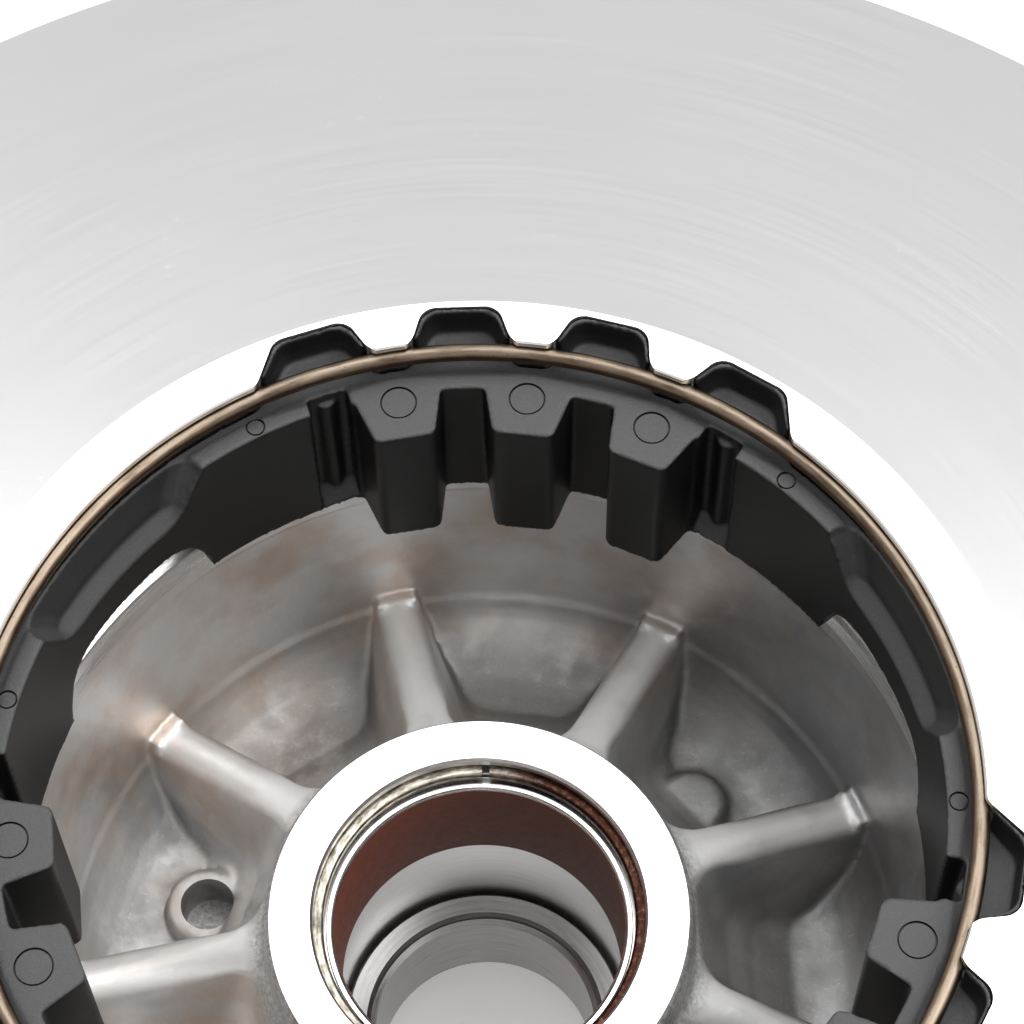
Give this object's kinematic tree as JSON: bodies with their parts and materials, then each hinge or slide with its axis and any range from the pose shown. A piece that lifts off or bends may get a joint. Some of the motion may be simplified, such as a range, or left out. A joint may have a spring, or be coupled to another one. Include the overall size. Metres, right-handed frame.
{
  "type": "cvt pulley half",
  "caption": "Sliding half of a belt-drive variable pulley: conical belt face, ribbed bowl with a toothed drive ring and bushed hub, and a governor cup with swinging roller levers behind it.",
  "frame": {"origin": "centre of the footprint, on the surface that the governor cup stands on", "axes": "+Z along the pulley's axis, out of the bowl's mouth; +X and +Y across it"},
  "size_m": [0.2506, 0.2506, 0.1],
  "materials": {
    "cast_aluminium": "cast aluminium, turned to a satin finish on the belt face and left as cast in the bowl",
    "black_plastic": "glass-filled black plastic, grainy on its flat tops",
    "bronze_wire": "heat-tinted spring wire, brown",
    "bush_lining": "red-brown low-friction lining",
    "plated_steel": "yellow plating with some rust",
    "bush_steel": "ground steel",
    "cup_aluminium": "die-cast aluminium",
    "cup_bush_bronze": "sintered bronze",
    "lever_steel": "forged steel, dark",
    "zinc_steel": "zinc-plated steel",
    "roller_plastic": "tan wear-resistant plastic",
    "shoe_plastic": "natural nylon"
  },
  "bodies": {
    "sliding_half": {"sliding_half": "cast_aluminium", "torque_gear": "black_plastic", "gear_circlip": "bronze_wire", "upper_bush": "bush_lining", "bush_snap_ring": "plated_steel", "lower_bush": "bush_steel", "pivot_bolt_1": "zinc_steel", "pivot_bolt_2": "zinc_steel", "pivot_bolt_3": "zinc_steel", "lock_nut_1": "zinc_steel", "lock_nut_2": "zinc_steel", "lock_nut_3": "zinc_steel"},
    "governor": {"governor_cup": "cup_aluminium", "cup_bush": "cup_bush_bronze", "slide_shoe_1": "shoe_plastic", "slide_shoe_2": "shoe_plastic", "slide_shoe_3": "shoe_plastic"},
    "lever_1": {"lever_1": "lever_steel", "roller_pin_1": "zinc_steel"},
    "roller_1": {"roller_1": "roller_plastic"},
    "lever_2": {"lever_2": "lever_steel", "roller_pin_2": "zinc_steel"},
    "roller_2": {"roller_2": "roller_plastic"},
    "lever_3": {"lever_3": "lever_steel", "roller_pin_3": "zinc_steel"},
    "roller_3": {"roller_3": "roller_plastic"}
  },
  "joints": [
    {"name": "cup_slide", "type": "slide", "parent": "sliding_half", "child": "governor", "axis": [0, 0, 1], "range_m": [-0.02, 0]},
    {"name": "lever_1_swing", "type": "hinge", "parent": "sliding_half", "child": "lever_1", "pos_m": [0.06409, 0.037, 0.068], "axis": [0.5, -0.866, 0], "range_deg": [0, 50]},
    {"name": "roller_1_spin", "type": "hinge", "parent": "lever_1", "child": "roller_1", "pos_m": [0.06409, 0.037, 0.034], "axis": [-0.5, 0.866, 0], "continuous": true},
    {"name": "lever_2_swing", "type": "hinge", "parent": "sliding_half", "child": "lever_2", "pos_m": [-0.06409, 0.037, 0.068], "axis": [0.5, 0.866, 0], "range_deg": [0, 50]},
    {"name": "roller_2_spin", "type": "hinge", "parent": "lever_2", "child": "roller_2", "pos_m": [-0.06409, 0.037, 0.034], "axis": [-0.5, -0.866, 0], "continuous": true},
    {"name": "lever_3_swing", "type": "hinge", "parent": "sliding_half", "child": "lever_3", "pos_m": [0, -0.074, 0.068], "axis": [-1, 0, 0], "range_deg": [0, 50]},
    {"name": "roller_3_spin", "type": "hinge", "parent": "lever_3", "child": "roller_3", "pos_m": [0, -0.074, 0.034], "axis": [1, 0, 0], "continuous": true}
  ],
  "couplings": [
    {"joint": "lever_1_swing", "follows": "cup_slide", "rad_per_m": -43.63},
    {"joint": "lever_2_swing", "follows": "cup_slide", "rad_per_m": -43.63},
    {"joint": "lever_3_swing", "follows": "cup_slide", "rad_per_m": -43.63}
  ]
}
